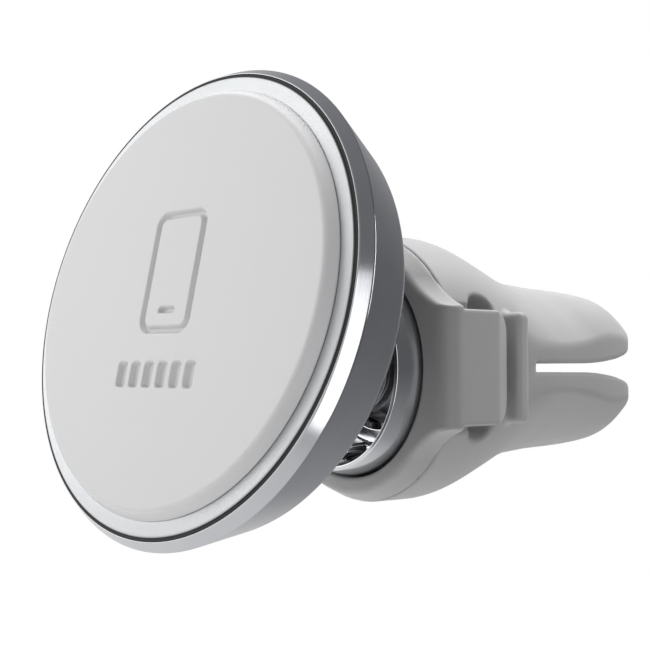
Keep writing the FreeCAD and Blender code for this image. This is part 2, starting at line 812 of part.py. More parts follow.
def clip_sides(body):
    """Flats beside the neck that the flaps close over, and the channels they share."""
    flat = sketch_on(body, "XZ_Plane")
    outline(flat, [
        (CABLE_SIDE, RIB_FRONT),
        (CLEAR_SIDE, RIB_FRONT),
        (CLEAR_SIDE, "strap_front"),
        (CABLE_SIDE, "strap_front"),
    ])
    flat_cut = pocket(body, flat, f"{CLEAR_SIDE} * 2", both_ways=True)
    mirror(body, [flat_cut, cable_channel(body, f"{CLEAR_SIDE} * 2")])


def prong_outline(body):
    """Trim the blank to straight sides and a rounded nose, as seen from above."""
    tongue = sketch_on(body, "XZ_Plane")
    outline(tongue, [
        (PRONG_SIDE, RIB_BACK),
        (CLEAR_SIDE, RIB_BACK),
        (CLEAR_SIDE, f"{PRONG_TIP} - overrun"),
        (f"0 - {CLEAR_SIDE}", f"{PRONG_TIP} - overrun"),
        (f"0 - {CLEAR_SIDE}", RIB_BACK),
        (f"0 - {PRONG_SIDE}", RIB_BACK),
        (f"0 - {PRONG_SIDE}", NOSE_START),
        (PRONG_SIDE, NOSE_START),
    ], {6: NOSE_RADIUS})
    pocket(body, tongue, f"{CLEAR_SIDE} * 2", both_ways=True)


def clip_ribs(body):
    """Rib behind each cable channel."""
    rib = sketch_on(body, "XZ_Plane")
    outline(rib, [
        (f"{PRONG_SIDE} - rib_root", RIB_BACK),
        (RIB_REACH, RIB_BACK),
        (RIB_REACH, RIB_FRONT),
        (f"{PRONG_SIDE} - rib_root", RIB_FRONT),
    ])
    mirror(body, [pad(body, rib, "flap_height", both_ways=True)])


def blade_slot(body):
    """Slot for the vent blade, narrow at the root and flared to the tips."""
    slot = sketch_on(body, "YZ_Plane")
    outline(slot, [
        ("slot_gap / -2", SLOT_ROOT),
        ("slot_gap / 2", SLOT_ROOT),
        ("slot_gap / 2", FLARE_START),
        ("slot_gap / 2 + flare_depth", PRONG_TIP),
        ("slot_gap / 2 + flare_depth", f"{PRONG_TIP} - overrun"),
        ("slot_gap / -2 - flare_depth", f"{PRONG_TIP} - overrun"),
        ("slot_gap / -2 - flare_depth", PRONG_TIP),
        ("slot_gap / -2", FLARE_START),
    ], {2: FLARE_RADIUS, 6: FLARE_RADIUS})
    pocket(body, slot, f"{CLEAR_SIDE} * 2", both_ways=True)


def vent_clip():
    """Soft clip: a collar that sweeps down into two crowned prongs with a blade slot between."""
    body = new_body("vent_clip")
    body.BaseFeature = clip_blank()
    clip_sides(body)
    prong_outline(body)
    clip_ribs(body)
    blade_slot(body)
    revolve(body, [
        ("0", CORE_BACK),
        (CORE_RADIUS, CORE_BACK),
        (CORE_RADIUS, CORE_FLANGE_BACK),
        (CORE_FLANGE_RADIUS, CORE_FLANGE_BACK),
        (CORE_FLANGE_RADIUS, STRAP_BACK),
        (STRAP_FLANGE_RADIUS, STRAP_BACK),
        (SKIRT_RADIUS, FLARE_TOP),
        (SKIRT_RADIUS, "strap_front"),
        ("0", "strap_front"),
    ], kind="Groove")
    for side in (1, -1):
        pocket(body, finger_section(body, side), "finger_reach")
    return body


def clip_core():
    """Stiff moulded core: a threaded cup for the dish's hub and a finger in each prong."""
    body = new_body("clip_core")
    revolve(body, [
        ("0", CORE_BACK),
        (CORE_RADIUS, CORE_BACK),
        (CORE_RADIUS, CORE_FLANGE_BACK),
        (CORE_FLANGE_RADIUS, CORE_FLANGE_BACK),
        (CORE_FLANGE_RADIUS, STRAP_BACK),
        (HUB_RADIUS, STRAP_BACK),
        (HUB_RADIUS, CORE_SEAT),
        ("0", CORE_SEAT),
    ])
    for side in (1, -1):
        pad(body, finger_section(body, side), "finger_reach", backwards=True)
    return body


# --- assembly --------------------------------------------------------------------------------

def placements():
    """Where the base, the friction cup and the head stand when the mount is at rest."""
    centre = FreeCAD.Vector(0, number(SLOT_ROOT), 0)
    forward = FreeCAD.Rotation(FreeCAD.Vector(1, 0, 0), 90)
    pan = FreeCAD.Rotation(FreeCAD.Vector(0, 0, 1), number("head_pan"))
    tilt = FreeCAD.Rotation(FreeCAD.Vector(1, 0, 0), -number("head_tilt"))
    return (
        FreeCAD.Placement(centre, forward),
        FreeCAD.Placement(centre, pan * forward),
        FreeCAD.Placement(centre, pan * tilt * forward),
    )


def main():
    base, panned, head = placements()
    base_pieces = (socket_dish, socket_collar, pressure_plate, disc_springs, cable_strap, vent_clip,
                   clip_core)
    head_pieces = (ball_stud, stud_washer, stud_nut, back_cover, head_shell, cover_screws, yoke_plate,
                   magnets, magnet_carrier, seam_gasket, trim_ring, pad_tape, face_pad)
    pieces = []
    for place, makers in ((base, base_pieces), (panned, (friction_cup,)), (head, head_pieces)):
        for make in makers:
            piece = make()
            piece.Placement = place
            pieces.append(piece)
    doc.recompute()

    for item in doc.Objects:
        if "Invalid" in item.State or "Error" in item.State:
            raise RuntimeError(f"{item.Label} did not build")
    for piece in pieces:
        if piece.Shape.isNull() or not piece.Shape.isValid() or not piece.Shape.Solids:
            raise RuntimeError(f"{piece.Label} is not a valid solid")
    os.makedirs("parts", exist_ok=True)
    for piece in pieces:
        piece.Shape.exportStep(f"parts/{piece.Label}.step")
        print(f"{piece.Label}: {len(piece.Shape.Solids)} solid(s), {piece.Shape.Volume:.1f} mm3")


main()
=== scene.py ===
import json
import math

import bmesh
import bpy
import numpy as np
from mathutils import Matrix, Vector


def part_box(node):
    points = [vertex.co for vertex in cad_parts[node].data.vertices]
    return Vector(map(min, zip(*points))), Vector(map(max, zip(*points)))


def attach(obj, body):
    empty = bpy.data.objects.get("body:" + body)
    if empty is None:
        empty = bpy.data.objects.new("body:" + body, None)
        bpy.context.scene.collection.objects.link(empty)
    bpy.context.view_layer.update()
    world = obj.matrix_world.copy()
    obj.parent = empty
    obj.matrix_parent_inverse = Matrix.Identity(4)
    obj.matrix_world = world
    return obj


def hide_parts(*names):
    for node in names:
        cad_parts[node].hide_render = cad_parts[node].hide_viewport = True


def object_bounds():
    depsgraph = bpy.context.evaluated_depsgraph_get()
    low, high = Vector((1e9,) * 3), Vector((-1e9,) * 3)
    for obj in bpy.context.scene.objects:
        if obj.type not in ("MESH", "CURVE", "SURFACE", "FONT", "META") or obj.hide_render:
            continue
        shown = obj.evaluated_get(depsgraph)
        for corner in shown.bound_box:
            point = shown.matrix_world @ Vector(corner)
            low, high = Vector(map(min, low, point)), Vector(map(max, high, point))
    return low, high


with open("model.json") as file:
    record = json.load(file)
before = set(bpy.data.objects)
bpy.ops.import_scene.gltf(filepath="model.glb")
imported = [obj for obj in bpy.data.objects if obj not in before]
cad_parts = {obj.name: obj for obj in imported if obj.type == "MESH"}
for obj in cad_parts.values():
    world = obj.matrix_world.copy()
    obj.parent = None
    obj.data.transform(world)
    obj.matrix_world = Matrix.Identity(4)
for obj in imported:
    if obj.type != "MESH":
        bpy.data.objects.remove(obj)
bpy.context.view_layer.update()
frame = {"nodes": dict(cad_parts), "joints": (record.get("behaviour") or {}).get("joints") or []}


# --- Clip core --------------------------------------------------------------------------------
# A stiff cup of glass-filled nylon that the dish's hub screws into, with a finger for each prong.
# The silicone clip is moulded round it, so only its bore shows when the mount is taken apart.

class Reading:
    """A socket of a material. A sum written on it becomes Math nodes."""

    def __init__(self, tree, socket):
        self.tree = tree
        self.socket = socket

    def node(self, kind, settings, inputs, output=0):
        made = self.tree.nodes.new("ShaderNode" + kind)
        for name, value in settings.items():
            if name == "stops":
                ramp = made.color_ramp
                while len(ramp.elements) < len(value):
                    ramp.elements.new(0.5)
                for element, (place, colour) in zip(ramp.elements, value):
                    element.position = place
                    element.color = (*colour, 1)
            else:
                setattr(made, name, value)
        for name, value in inputs.items():
            if isinstance(value, Reading):
                self.tree.links.new(value.socket, made.inputs[name])
            else:
                made.inputs[name].default_value = value
        return Reading(self.tree, made.outputs[output])

    def sum(self, operation, first, second):
        return self.node("Math", {"operation": operation}, {0: first, 1: second})

    def __add__(self, other):
        return self.sum("ADD", self, other)

    def __radd__(self, other):
        return self.sum("ADD", other, self)

    def __sub__(self, other):
        return self.sum("SUBTRACT", self, other)

    def __rsub__(self, other):
        return self.sum("SUBTRACT", other, self)

    def __mul__(self, other):
        return self.sum("MULTIPLY", self, other)

    def __rmul__(self, other):
        return self.sum("MULTIPLY", other, self)

    def __pow__(self, other):
        return self.sum("POWER", self, other)


def new_finish(name, turn=Matrix.Identity(4)):
    """A material, and its Object coordinates as read in the axes that turn leads to."""
    material = bpy.data.materials.new(name)
    material.use_nodes = True
    tree = material.node_tree
    start = Reading(tree, tree.nodes["Principled BSDF"].outputs[0])
    raw = start.node("TexCoord", {}, {}, "Object")
    place, spin, _ = turn.decompose()
    spot = start.node("Mapping", {}, {
        "Vector": raw, "Location": place, "Rotation": spin.to_euler(), "Scale": (1, 1, 1)})
    return material, spot


def shade(material, inputs):
    """Sets the shader's sockets, by a number, a colour or a reading."""
    tree = material.node_tree
    surface = tree.nodes["Principled BSDF"]
    for name, value in inputs.items():
        if isinstance(value, Reading):
            tree.links.new(value.socket, surface.inputs[name])
        else:
            surface.inputs[name].default_value = value


def grain(spot, size, detail=3.0):
    """Noise from 0 to 1 with lumps of that size in metres."""
    return spot.node("TexNoise", {}, {"Vector": spot, "Scale": 1 / size, "Detail": detail})


def tinted(mask, low, high):
    """The colour between two colours where a reading goes from 0 to 1."""
    return mask.node("Mix", {"data_type": "RGBA"}, {0: mask, 6: (*low, 1), 7: (*high, 1)}, 2)


def relief(height, depth):
    """A normal from a height reading whose full range is that depth in metres."""
    return height.node("Bump", {}, {"Height": height, "Distance": depth, "Strength": 1.0})


def coat(piece, material):
    """Gives a whole piece one finish."""
    for slot in piece.material_slots:
        slot.material = material
    if not piece.material_slots:
        piece.data.materials.append(material)


core_nylon, spot = new_finish("core_nylon")
fibres = grain(spot, 0.0004)
flow = grain(spot, 0.004)
shade(core_nylon, {
    "Base Color": tinted(flow, (0.016, 0.016, 0.018), (0.035, 0.035, 0.037)),
    "Roughness": 0.42 + 0.18 * fibres,
    "Normal": relief(fibres, 0.00003),
})
coat(frame["nodes"]["clip_core"], core_nylon)


# --- Vent clip --------------------------------------------------------------------------------
# Soft grey silicone, moulded in one piece over the core: a round collar that sweeps down to two
# crowned prongs. Flats beside the collar carry half of each cable channel and a rib behind it.

ball = Vector(frame["joints"][0]["pos_m"])

# Millimetres. Depths run back from the front plane of the strap, the rest from the middle.
LIP = ball.y * 1000 - 4.8
SLOT_ROOT = -LIP
TIP = SLOT_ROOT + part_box("vent_clip")[1].y * 1000
CABLE_SIDE, CABLE_DEPTH, CABLE_RADIUS = 11.3, 6.8, 1.7
FLAP_HALF = 5.2                      # half height of the flats and the strap's flaps
COLLAR_HALF, COLLAR_FRONT = 12.9, 2.2
PRONG_HALF, NOSE = 11, 11.6          # half width of a prong, and the radius of its end
CROWN, SWELL = 9.3, 3.6              # height of the prongs, and how much taller the collar is
TAPER, TIP_DROP = 0.1, 2.0           # what the crown loses in each millimetre, and at the tip
BAND, BAND_LOSS = 1.7, 0.5           # upright edge beside the slot, and what it loses at the tip
SLOT_HALF, SLOT_EVEN = 0.45, 7.0     # half the slot, and how far it stays even before it flares
FLARE_RADIUS, FLARE_LENGTH = 32.2, 15    # the flare is an arc
FLAT_BACK = 10.05                    # where the flats end and the rib begins
RIB_SIDE, RIB_DEPTH, RIB_HALF = 13.0, 10.825, 0.775


def joined(a, b, radius):
    """Two solids made one, with a fillet of that radius between them."""
    near = np.hypot(np.maximum(radius - a, 0), np.maximum(radius - b, 0))
    return np.maximum(radius, np.minimum(a, b)) - near


def shared(a, b, radius):
    """What two solids have in common, its new edge rounded to that radius."""
    near = np.hypot(np.maximum(radius + a, 0), np.maximum(radius + b, 0))
    return np.minimum(-radius, np.maximum(a, b)) + near


def without(a, b, radius):
    """The first solid with the second cut from it, the new edge rounded."""
    return shared(a, -b, radius)


def eased(low, high, value):
    """0 below low, 1 above high, and a smooth S between."""
    t = np.clip((value - low) / (high - low), 0, 1)
    return t * t * (3 - 2 * t)


def channel(x, y, z):
    """The round channel that takes a cable on both sides, and turns outwards past the flap."""
    clear = 0.4
    turn = np.maximum(np.abs(z) - FLAP_HALF - clear, 0)
    return np.hypot(np.abs(x) - CABLE_SIDE - turn, y - LIP - CABLE_DEPTH) - CABLE_RADIUS


def skin(name, solid, low, high, cell):
    """A mesh over the solid whose signed depth is solid(x, y, z), all in millimetres."""
    closing_rounds, smoothing_rounds = 3, 5
    rows = [np.arange(a - cell, b + 2 * cell, cell) for a, b in zip(low, high)]
    inside = solid(*np.meshgrid(*rows, indexing="ij", sparse=True)) < 0
    across, back, up = (count - 1 for count in inside.shape)
    full = sum(inside[i:across + i, j:back + j, k:up + k].astype(int)
               for i in (0, 1) for j in (0, 1) for k in (0, 1))
    active = (full > 0) & (full < 8)
    label = np.full(active.shape, -1)
    label[active] = np.arange(active.sum())
    points = np.stack([row[at] + cell / 2 for row, at in zip(rows, np.nonzero(active))], 1)
    faces = []
    for axis in range(3):
        order = (axis, (axis + 1) % 3, (axis + 2) % 3)
        solid_at = inside.transpose(order)
        cells = label.transpose(order)
        here, ahead = solid_at[:-1, 1:-1, 1:-1], solid_at[1:, 1:-1, 1:-1]
        ring = np.stack([
            cells[:, :-1, :-1], cells[:, 1:, :-1], cells[:, 1:, 1:], cells[:, :-1, 1:]], -1)
        faces.append(ring[here & ~ahead])
        faces.append(ring[~here & ahead][:, ::-1])
    faces = np.concatenate(faces)
    ends = np.concatenate([faces[:, [i, (i + 1) % 4]] for i in range(4)])
    ends = np.concatenate([ends, ends[:, ::-1]])
    shares = np.bincount(ends[:, 0], minlength=len(points))[:, None]

    def settled(points):
        step, flattest = 0.02, 0.05
        depth = solid(*points.T)
        slope = np.stack([
            (solid(*(points + nudge).T) - solid(*(points - nudge).T)) / (2 * step)
            for nudge in np.eye(3) * step], 1)
        size = np.maximum((slope ** 2).sum(1), flattest)
        return points - slope * (np.clip(depth, -cell, cell) / size)[:, None]

    for _ in range(closing_rounds):
        points = settled(points)
    for _ in range(smoothing_rounds):
        around = np.stack([
            np.bincount(ends[:, 0], points[ends[:, 1], i], len(points)) for i in range(3)], 1)
        points = settled((points + around / shares) / 2)
    points = settled(settled(points))
    mesh = bpy.data.meshes.new(name)
    mesh.from_pydata(points / 1000, [], faces.tolist())
    mesh.shade_smooth()
    piece = bpy.data.objects.new(name, mesh)
    bpy.context.scene.collection.objects.link(piece)
    return piece


def skirt_seat(x, y, z):
    """The recess behind the strap's front ring that its skirt fills."""
    mouth, drawn_in, end = 11.1, 2.0, 6.2
    cone_start, cone_length = 2.8, 3.4
    depth = y - LIP
    outer = mouth - drawn_in * np.clip((depth - cone_start) / cone_length, 0, 1)
    return np.maximum(np.hypot(x, z) - outer, depth - end)


def core_seat(x, y, z):
    """The hollow that the core fills: its cup, its flange and a finger in each prong."""
    cup_radius, cup_end = 8.6, 13.7
    flange_radius, flange_end = 9.05, 7.2
    finger_half, finger_height, finger_thick, finger_end = 5, 3.4, 0.8, 24.7
    radius, depth = np.hypot(x, z), y - LIP
    bore = np.maximum(radius - cup_radius, depth - cup_end)
    flange = np.maximum(radius - flange_radius, depth - flange_end)
    across = np.maximum(np.abs(x) - finger_half, np.abs(np.abs(z) - finger_height) - finger_thick)
    return np.minimum(flange, np.minimum(bore, np.maximum(across, depth - finger_end)))


def slot_gap(depth):
    """Half the slot: even where it grips the slat, then flared towards the tips."""
    flare = np.maximum(depth - SLOT_ROOT - SLOT_EVEN, 0)
    drop = np.sqrt(FLARE_RADIUS ** 2 - np.minimum(flare, FLARE_LENGTH) ** 2)
    return SLOT_HALF + FLARE_RADIUS - drop


def crown_height(depth):
    """Height of the back: it falls from the collar to the prongs, then thins to the tips."""
    tip_start, tip_length = 29, 7.2
    crown = CROWN + SWELL * (1 - eased(6, 19, depth)) - TAPER * np.maximum(depth - 17, 0)
    return crown - TIP_DROP * np.clip((depth - tip_start) / tip_length, 0, 1) ** 2


def clip_solid(x, y, z):
    """The clip: a round collar run into two crowned prongs, and all that is cut from them."""
    depth = y - LIP
    side, height = np.abs(x), np.abs(z)
    gap, crown = slot_gap(depth), crown_height(depth)

    edge = np.clip((gap + BAND) / crown, 0, 0.9)
    prong_width = PRONG_HALF / np.sqrt(1 - edge ** 2)
    width = COLLAR_HALF + (prong_width - COLLAR_HALF) * eased(4, 17, depth)
    share = np.sqrt((side / width) ** 2 + (height / crown) ** 2) + 1e-6
    steep = np.sqrt(side ** 2 / width ** 4 + height ** 2 / crown ** 4) + 1e-6
    tube = (share - 1) * share / steep

    flank_step = 1.9
    flank = side - (COLLAR_HALF - flank_step * eased(8.5, 13.5, depth))
    from_nose = np.hypot(side, np.maximum(depth - TIP + NOSE, 0))
    outline = shared(flank, from_nose - NOSE, 1.0)

    band = BAND - BAND_LOSS * eased(26, 38, depth)
    inset = np.clip(from_nose / (PRONG_HALF + 0.6 * eased(19, 27, depth)), 0, 1)
    squareness = 2.2 + 3 * eased(22, 33, depth)
    rise = np.maximum(crown - gap - band, 0.1) * (1 - inset ** squareness)
    tongue = (height - gap - band - rise) * 0.8
    blend = eased(13, 20, depth)
    body = shared(tube * (1 - blend) + tongue * blend, outline, 0.3)
    body = np.maximum(body, COLLAR_FRONT - depth)

    flat = np.maximum(np.maximum(CABLE_SIDE - side, depth - FLAT_BACK), height - FLAP_HALF - 0.5)
    body = without(body, flat, 0.2)
    rib = shared(side - RIB_SIDE, np.abs(depth - RIB_DEPTH) - RIB_HALF, 0.4)
    rib = shared(rib, height - FLAP_HALF, 0.6)
    body = joined(body, np.maximum(rib, 9.5 - side), 0.5)
    body = without(body, channel(x, y, z), 0.25)
    body = without(body, np.maximum(height - gap, SLOT_ROOT - depth), 0.3)
    return np.maximum(body, -np.minimum(skirt_seat(x, y, z), core_seat(x, y, z)))


CLIP_CELL = 0.27
low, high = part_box("vent_clip")
clip = skin("vent_clip_skin", clip_solid, low * 1000, high * 1000, CLIP_CELL)

grey_silicone, spot = new_finish("grey_silicone")
tooth = grain(spot, 0.00022, 2.0)
cloud = grain(spot, 0.009)
dust = grain(spot, 0.0012, 5.0)
shade(grey_silicone, {
    "Base Color": tinted(cloud * 0.8 + dust * 0.2, (0.32, 0.32, 0.322), (0.37, 0.37, 0.372)),
    "Roughness": 0.40 + 0.14 * dust + 0.06 * tooth,
    "Normal": relief(tooth, 0.000012),
    "Sheen Weight": 0.12,
    "Sheen Roughness": 0.4,
})
coat(clip, grey_silicone)
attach(clip, "clip")
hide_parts("vent_clip")


# --- Cable strap ------------------------------------------------------------------------------
# The same silicone, moulded as a collar that is stretched over the dish. Its flaps fold back
# over the clip's flats and close the cable channels, with a slit behind each for the cable.

STRAP_HALF = 13.8
RING_RADIUS, RING_FRONT, RING_THICK = 12.85, 11.9, 2.2
CONE_ALONG, CONE_ACROSS = 0.91, 0.414    # the ring's bevel leans back by about 24 degrees
DISH_HOLE = 10.5
FLAP_INSIDE, FLAP_BACK, FLAP_CORNER = 12.0, 8.9, 2.5
FLAP_TURN = 6.4                          # where the corner of the flap's back begins
STRAP_CELL = 0.22


def strap_solid(x, y, z):
    """The strap: a ring with two flaps in front, and the skirt that hooks into the clip."""
    depth = y - LIP
    side, height = np.abs(x), np.abs(z)
    radius = np.hypot(x, z)

    cone = np.maximum((radius - RING_FRONT) * CONE_ALONG - depth * CONE_ACROSS,
                      radius - RING_RADIUS)
    tab = shared(side - STRAP_HALF, height - FLAP_HALF, 0.3)
    collar = shared(joined(cone, tab, 3.2), -depth, 0.45)
    collar = np.maximum(shared(collar, side - STRAP_HALF, 0.2), depth - RING_THICK)

    end = np.hypot(np.maximum(depth - FLAP_TURN, 0),
                   np.maximum(height - FLAP_HALF + FLAP_CORNER, 0)) - FLAP_CORNER
    end = np.where(depth > FLAP_TURN, end, height - FLAP_HALF)
    bevel = (side - STRAP_HALF + 0.5 * np.maximum(depth - 6.6, 0)) * 0.9
    flap = shared(shared(bevel, end, 0.3), depth - FLAP_BACK, 0.3)
    flap = shared(flap, FLAP_INSIDE - side, 0.25)
    body = np.minimum(collar, np.maximum(flap, 1.2 - depth))
    body = shared(body, shared(side - STRAP_HALF, -depth, 1.9), 0.1)
    body = without(body, radius - DISH_HOLE, 0.35)

    inner = DISH_HOLE - 1.5 * np.clip((depth - 2.8) / 2.4, 0, 1)
    skirt = np.maximum(np.maximum(skirt_seat(x, y, z), inner - radius), 1.5 - depth)
    flange = np.maximum(np.maximum(skirt_seat(x, y, z), 7.3 - radius), 5.2 - depth)
    body = np.minimum(body, np.minimum(skirt, flange))
    return without(body, channel(x, y, z), 0.2)


low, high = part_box("cable_strap")
strap = skin("cable_strap_skin", strap_solid, low * 1000, high * 1000, STRAP_CELL)
coat(strap, grey_silicone)
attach(strap, "clip")
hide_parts("cable_strap")


# --- Socket dish ------------------------------------------------------------------------------
# Turned and polished, with a threaded hub that screws into the core. The rim stands proud of the
# strap, and the stepped ledge inside is slotted so that the spanner for the collar can reach in.

base_stand = Matrix.Translation(ball) @ Matrix.Rotation(math.radians(90), 4, "X")


def rounded(corners):
    """The outline through (radius, height, fillet) corners in millimetres, its corners rounded."""
    steps, longest, flat_end = 6, 0.42, 1.15
    points = []
    for i, (r, h, fillet) in enumerate(corners):
        here = np.array((r, h))
        if not fillet:
            points.append(here)
            continue
        before = np.array(corners[i - 1][:2]) - here
        after = np.array(corners[(i + 1) % len(corners)][:2]) - here
        lengths = np.linalg.norm(before), np.linalg.norm(after)
        before, after = before / lengths[0], after / lengths[1]
        half = math.acos(float(np.clip(before @ after, -1, 1))) / 2
        reach = min(fillet / math.tan(half), longest * min(lengths))
        points.append(here + before * reach * flat_end)
        for u in np.linspace(0, 1, steps + 1):
            points.append(here + before * reach * (1 - u) ** 2 + after * reach * u ** 2)
        points.append(here + after * reach * flat_end)
    return np.array(points)


def turned(name, corners, stand, closed=True, dips=None, turns=180):
    """A lathe-turned piece. dips gives other corners and where they take over, from 0 to 1."""
    line = rounded(corners)
    angles = np.radians(np.arange(turns) * 360 / turns)
    if dips:
        dipped = rounded(dips[0])
        angles, depth = dips[1]
        line = line + depth[:, None, None] * (dipped - line)
    else:
        line = np.repeat(line[None], turns, 0)
    turns, count = line.shape[:2]
    radius, height = line[..., 0], line[..., 1]
    points = np.stack([radius * np.cos(angles)[:, None], radius * np.sin(angles)[:, None],
                       height], -1).reshape(-1, 3) / 1000
    faces = []
    for a in range(turns):
        b = (a + 1) % turns
        for i in range(count if closed else count - 1):
            j = (i + 1) % count
            faces.append((a * count + i, b * count + i, b * count + j, a * count + j))
    mesh = bpy.data.meshes.new(name)
    mesh.from_pydata(points, [], faces)
    mesh.transform(stand)
    work = bmesh.new()
    work.from_mesh(mesh)
    bmesh.ops.remove_doubles(work, verts=work.verts, dist=1e-7)
    bmesh.ops.dissolve_degenerate(work, edges=work.edges, dist=1e-7)
    bmesh.ops.recalc_face_normals(work, faces=work.faces)
    work.to_mesh(mesh)
    work.free()
    mesh.shade_smooth()
    piece = bpy.data.objects.new(name, mesh)
    bpy.context.scene.collection.objects.link(piece)
    return piece


def slots(count, width, radius, wall=0.12):
    """Angles round a turn and, at each, how far into a slot of that width it stands."""
    half = math.degrees(width / 2 / radius)
    soft = math.degrees(wall / radius)
    edges = [i * 360 / count + side * (half + way * soft / 2)
             for i in range(count) for side in (-1, 1) for way in (-1, 1)]
    angles = np.unique(np.round(np.concatenate([np.arange(0, 360, 2.0), np.array(edges) % 360]), 4))
    away = np.abs((angles + 180 / count) % (360 / count) - 180 / count)
    return np.radians(angles), 1 - np.clip((away - half + soft / 2) / soft, 0, 1)


def moved(corners, places):
    """The same corners with their fillets, some of them in another place."""
    return [(*places.get(corner[:2], corner[:2]), corner[2]) for corner in corners]


def round_axis(spot):
    """How far a point stands out from the axis of a turned piece, and how far along it."""
    x, y, z = [spot.node("SeparateXYZ", {}, {"Vector": spot}, axis) for axis in range(3)]
    return (x * x + y * y) ** 0.5, z


def tool_lines(way, detail=2.0):
    """Noise from 0 to 1 along one reading, which leaves fine lines like a lathe tool's."""
    return way.node("TexNoise", {"noise_dimensions": "1D"}, {"W": way, "Detail": detail})


plain_dish = [
    (6.0, -7.4, 0), (7.2, -7.4, 0.2), (7.2, -0.4, 0.2), (8.95, -0.4, 0.3), (10.25, 2.0, 0.5),
    (10.25, 4.8, 1.6), (9.7, 7.0, 0.14), (9.3, 7.0, 0.12), (8.4, 3.3, 0.25), (7.6, 3.3, 0.2),
    (7.3, 0.9, 0.3), (6.0, 0.9, 0.1),
]
slotted_dish = moved(plain_dish, {(8.4, 3.3): (8.4, 1.5), (7.6, 3.3): (7.6, 1.5)})
dish = turned("socket_dish_turned", plain_dish, base_stand,
              dips=(slotted_dish, slots(count=4, width=2.6, radius=8.0)))

dish_chrome, spot = new_finish("dish_chrome", base_stand.inverted())
out, along = round_axis(spot)
lines = tool_lines((out + along) * 9000)
haze = grain(spot, 0.003)
shade(dish_chrome, {
    "Base Color": tinted(haze, (0.60, 0.61, 0.63), (0.68, 0.69, 0.71)),
    "Metallic": 1.0,
    "Roughness": 0.07 + 0.06 * lines + 0.04 * haze,
    "Normal": relief(lines, 0.0000012),
})
coat(dish, dish_chrome)
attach(dish, "clip")
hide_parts("socket_dish")


# --- Disc springs, pressure plate and friction cup --------------------------------------------
# Behind the ball: two coned spring washers push a zinc-plated plate, and the plate pushes a
# nylon cup against the ball. They give the joint its even stiffness and are shut in by the hub.

spring_steel, spot = new_finish("spring_steel", base_stand.inverted())
scale = grain(spot, 0.0009)
shade(spring_steel, {
    "Base Color": tinted(scale, (0.20, 0.20, 0.22), (0.34, 0.34, 0.36)),
    "Metallic": 1.0,
    "Roughness": 0.30 + 0.20 * scale,
    "Normal": relief(scale, 0.000006),
})
coat(frame["nodes"]["disc_springs"], spring_steel)

zinc_plate, spot = new_finish("zinc_plate")
spangle = spot.node("TexVoronoi", {}, {"Vector": spot, "Scale": 900.0}, "Distance")
shade(zinc_plate, {
    "Base Color": tinted(spangle, (0.44, 0.45, 0.47), (0.60, 0.61, 0.62)),
    "Metallic": 1.0,
    "Roughness": 0.26 + 0.25 * spangle,
    "Normal": relief(spangle, 0.000008),
})
coat(frame["nodes"]["pressure_plate"], zinc_plate)

cup_nylon, spot = new_finish("cup_nylon")
moulding = grain(spot, 0.0006)
shade(cup_nylon, {
    "Base Color": tinted(moulding, (0.66, 0.64, 0.57), (0.76, 0.74, 0.68)),
    "Roughness": 0.38 + 0.14 * moulding,
    "Normal": relief(moulding, 0.00001),
    "Subsurface Weight": 0.15,
    "Subsurface Radius": (0.001, 0.001, 0.0008),
})
coat(frame["nodes"]["friction_cup"], cup_nylon)


# --- Socket collar ----------------------------------------------------------------------------
# A dark plated collar, turned with a rounded bezel and screwed down over the ball. The notches
# in its shoulder are for a pin spanner.

plain_collar = [
    (6.0, -0.6, 0.1), (6.0, 0.9, 0.15), (5.4, 0.9, 0.1), (4.6, 2.45, 0.9),
    (4.2, 3.05, 0.35), (3.8, 3.05, 0.15), (3.66, 2.67, 0.05), (3.98, 2.16, 0), (4.24, 1.6, 0),
    (4.42, 1.0, 0), (4.52, 0.3, 0), (4.53, 0.0, 0), (4.51, -0.4, 0), (4.49, -0.6, 0),
]
notched_collar = moved(plain_collar, {(6.0, 0.9): (6.0, -0.3), (5.4, 0.9): (5.3, -0.3)})
collar = turned("socket_collar_turned", plain_collar, base_stand,
                dips=(notched_collar, slots(count=4, width=1.2, radius=5.7)))

dark_chrome, spot = new_finish("dark_chrome", base_stand.inverted())
out, along = round_axis(spot)
lines = tool_lines((out + along) * 8000)
rubbed = grain(spot, 0.0015)
shade(dark_chrome, {
    "Base Color": tinted(rubbed, (0.13, 0.13, 0.14), (0.20, 0.20, 0.21)),
    "Metallic": 1.0,
    "Roughness": 0.16 + 0.10 * lines + 0.06 * rubbed,
    "Normal": relief(lines, 0.000002),
})
coat(collar, dark_chrome)
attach(collar, "clip")
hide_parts("socket_collar")


# --- Ball stud --------------------------------------------------------------------------------
# One steel turning: the ball, its neck, the flange that carries the head's boss, the shank that
# the head turns on, and the threaded end. Blackened, and polished by wear on the ball.

across, forward = -Vector(frame["joints"][1]["axis"]), Vector(frame["joints"][2]["axis"])
upright = Matrix((across, forward.cross(across), forward)).transposed().to_4x4()
head_stand = Matrix.Translation(ball) @ upright

BALL, NECK, SHANK_END = 4.5, 1.6, 19.4
NECK_ANGLE = 0.3635                  # where the neck runs into the ball, from the stud's axis
arc = [(BALL * math.sin(a), -BALL * math.cos(a), 0)
       for a in np.linspace(0, math.pi - NECK_ANGLE, 40)]
stud = turned("ball_stud_turned", arc + [
    (NECK, 5.0, 0.3), (NECK, 7.6, 0.25), (3.2, 7.6, 0.15), (3.2, 8.2, 0.08), (NECK, 8.2, 0),
    (NECK, SHANK_END, 0), (1.5, SHANK_END, 0.05), (1.5, 21.6, 0.2), (0, 21.6, 0),
], head_stand, closed=False)

